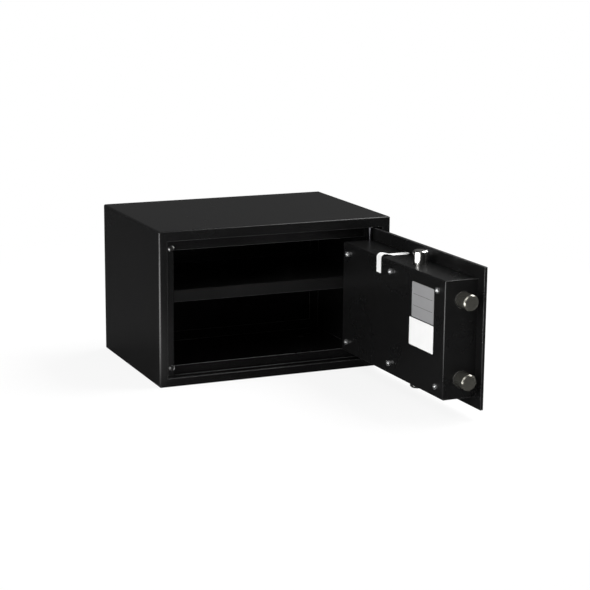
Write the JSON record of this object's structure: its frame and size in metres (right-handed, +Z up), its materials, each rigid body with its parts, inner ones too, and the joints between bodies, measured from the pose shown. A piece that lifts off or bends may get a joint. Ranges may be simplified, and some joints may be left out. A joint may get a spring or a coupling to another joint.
{
  "type": "electronic safe",
  "caption": "Box safe of folded sheet steel with a shelf and an inset hinged door, whose knob throws round bolts by a rack and pinion behind a flat lock cover.",
  "frame": {"origin": "centre of the case's base, on the surface that it stands on", "axes": "+Z up, +Y towards the back panel, +X to the right as seen from the front, where the hinge is"},
  "size_m": [0.4287, 0.6335, 0.25],
  "materials": {
    "case_paint": "satin black powder coat",
    "door_paint": "satin black powder coat",
    "buffer_clear": "clear glossy buffer on a bright base",
    "hinge_bush": "natural nylon",
    "bright_steel": "turned stainless steel",
    "zinc_plate": "zinc plated steel sheet",
    "nut_steel": "bright zinc plated fasteners",
    "brass": "turned brass",
    "chrome": "polished chrome plate",
    "gear_steel": "sintered steel",
    "coil_winding": "taped winding",
    "housing_plastic": "fine textured black plastic",
    "knob_plastic": "satin black plastic",
    "key_plastic": "soft touch dark grey",
    "mat_rubber": "silicone rubber",
    "board": "green solder mask",
    "display": "black display",
    "window": "smoked red window",
    "battery_label": "plain cell wrapper"
  },
  "bodies": {
    "case": {"body_wrap": "case_paint", "back_panel": "case_paint", "front_frame": "case_paint", "strike_strip": "case_paint", "door_buffers": "buffer_clear", "hinge_bushes": "hinge_bush", "shelf": "case_paint", "shelf_rails": "case_paint"},
    "door": {"door_plate": "door_paint", "hinge_lugs": "door_paint", "hinge_rod": "bright_steel", "thrust_washer": "bright_steel", "lock_cover": "door_paint", "bolt_guides": "zinc_plate", "guide_posts": "zinc_plate", "cover_studs": "nut_steel", "cover_nuts": "nut_steel", "spindle_bush": "brass", "solenoid_coil": "coil_winding", "solenoid_frame": "zinc_plate", "lock_barrel": "chrome", "lock_nut": "zinc_plate", "keypad_housing": "housing_plastic", "housing_screws": "nut_steel", "key_mat": "mat_rubber", "keypad_board": "board", "display_module": "display", "display_window": "window", "cover_pivot": "nut_steel", "plunger_spring": "bright_steel"},
    "bolt_carriage": {"carriage_plate": "zinc_plate", "horizontal_bolts": "bright_steel", "carriage_screws": "nut_steel"},
    "top_bolt_bar": {"top_bar": "zinc_plate", "top_bolt": "bright_steel"},
    "bottom_bolt_bar": {"bottom_bar": "zinc_plate", "bottom_bolt": "bright_steel"},
    "knob_and_pinion": {"knob": "knob_plastic", "knob_spindle": "chrome", "pinion": "gear_steel", "spindle_clip": "zinc_plate"},
    "solenoid_plunger": {"plunger": "bright_steel"},
    "override_lock": {"lock_plug": "chrome", "lock_cam": "zinc_plate", "cam_nut": "zinc_plate"},
    "override_flap": {"override_cover": "housing_plastic"},
    "battery_tray": {"battery_drawer": "housing_plastic", "batteries": "battery_label"},
    "key_1": {"key_1": "key_plastic"},
    "key_2": {"key_2": "key_plastic"},
    "key_3": {"key_3": "key_plastic"},
    "key_4": {"key_4": "key_plastic"},
    "key_5": {"key_5": "key_plastic"},
    "key_6": {"key_6": "key_plastic"},
    "key_7": {"key_7": "key_plastic"},
    "key_8": {"key_8": "key_plastic"},
    "key_9": {"key_9": "key_plastic"},
    "key_clear": {"key_clear": "key_plastic"},
    "key_0": {"key_0": "key_plastic"},
    "key_enter": {"key_enter": "key_plastic"}
  },
  "joints": [
    {"name": "door_hinge", "type": "hinge", "parent": "case", "child": "door", "pos_m": [0.1688, -0.13, 0.125], "axis": [0, 0, 1], "range_deg": [-91, 9]},
    {"name": "bolt_throw", "type": "slide", "parent": "door", "child": "bolt_carriage", "axis": [0.0175, -0.9998, 0], "range_m": [-0.024, 0]},
    {"name": "top_bolt_throw", "type": "slide", "parent": "door", "child": "top_bolt_bar", "axis": [0, 0, 1], "range_m": [-0.024, 0]},
    {"name": "bottom_bolt_throw", "type": "slide", "parent": "door", "child": "bottom_bolt_bar", "axis": [0, 0, -1], "range_m": [-0.024, 0]},
    {"name": "knob_turn", "type": "hinge", "parent": "door", "child": "knob_and_pinion", "pos_m": [0.18248, -0.34099, 0.1221], "axis": [-0.9998, -0.0175, 0], "range_deg": [-91.7, 0]},
    {"name": "plunger_slide", "type": "slide", "parent": "door", "child": "solenoid_plunger", "axis": [0, 0, -1], "range_m": [0, 0.006], "deforming": ["plunger_spring"]},
    {"name": "override_key_turn", "type": "hinge", "parent": "door", "child": "override_lock", "pos_m": [0.17999, -0.19831, 0.11123], "axis": [0.9998, 0.0175, 0], "range_deg": [-90, 0]},
    {"name": "override_cover_swing", "type": "hinge", "parent": "door", "child": "override_flap", "pos_m": [0.20199, -0.19793, 0.13523], "axis": [0.9998, 0.0175, 0], "range_deg": [0, 100]},
    {"name": "battery_drawer_slide", "type": "slide", "parent": "door", "child": "battery_tray", "axis": [0, 0, -1], "range_m": [0, 0.036]},
    {"name": "key_1_press", "type": "slide", "parent": "door", "child": "key_1", "axis": [-0.9998, -0.0175, 0], "range_m": [0, 0.0015], "stiffness_N_per_m": 400},
    {"name": "key_2_press", "type": "slide", "parent": "door", "child": "key_2", "axis": [-0.9998, -0.0175, 0], "range_m": [0, 0.0015], "stiffness_N_per_m": 400},
    {"name": "key_3_press", "type": "slide", "parent": "door", "child": "key_3", "axis": [-0.9998, -0.0175, 0], "range_m": [0, 0.0015], "stiffness_N_per_m": 400},
    {"name": "key_4_press", "type": "slide", "parent": "door", "child": "key_4", "axis": [-0.9998, -0.0175, 0], "range_m": [0, 0.0015], "stiffness_N_per_m": 400},
    {"name": "key_5_press", "type": "slide", "parent": "door", "child": "key_5", "axis": [-0.9998, -0.0175, 0], "range_m": [0, 0.0015], "stiffness_N_per_m": 400},
    {"name": "key_6_press", "type": "slide", "parent": "door", "child": "key_6", "axis": [-0.9998, -0.0175, 0], "range_m": [0, 0.0015], "stiffness_N_per_m": 400},
    {"name": "key_7_press", "type": "slide", "parent": "door", "child": "key_7", "axis": [-0.9998, -0.0175, 0], "range_m": [0, 0.0015], "stiffness_N_per_m": 400},
    {"name": "key_8_press", "type": "slide", "parent": "door", "child": "key_8", "axis": [-0.9998, -0.0175, 0], "range_m": [0, 0.0015], "stiffness_N_per_m": 400},
    {"name": "key_9_press", "type": "slide", "parent": "door", "child": "key_9", "axis": [-0.9998, -0.0175, 0], "range_m": [0, 0.0015], "stiffness_N_per_m": 400},
    {"name": "key_clear_press", "type": "slide", "parent": "door", "child": "key_clear", "axis": [-0.9998, -0.0175, 0], "range_m": [0, 0.0015], "stiffness_N_per_m": 400},
    {"name": "key_0_press", "type": "slide", "parent": "door", "child": "key_0", "axis": [-0.9998, -0.0175, 0], "range_m": [0, 0.0015], "stiffness_N_per_m": 400},
    {"name": "key_enter_press", "type": "slide", "parent": "door", "child": "key_enter", "axis": [-0.9998, -0.0175, 0], "range_m": [0, 0.0015], "stiffness_N_per_m": 400}
  ],
  "couplings": [
    {"joint": "top_bolt_throw", "follows": "bolt_throw", "ratio": 1},
    {"joint": "bottom_bolt_throw", "follows": "bolt_throw", "ratio": 1},
    {"joint": "knob_turn", "follows": "bolt_throw", "rad_per_m": 66.667}
  ]
}
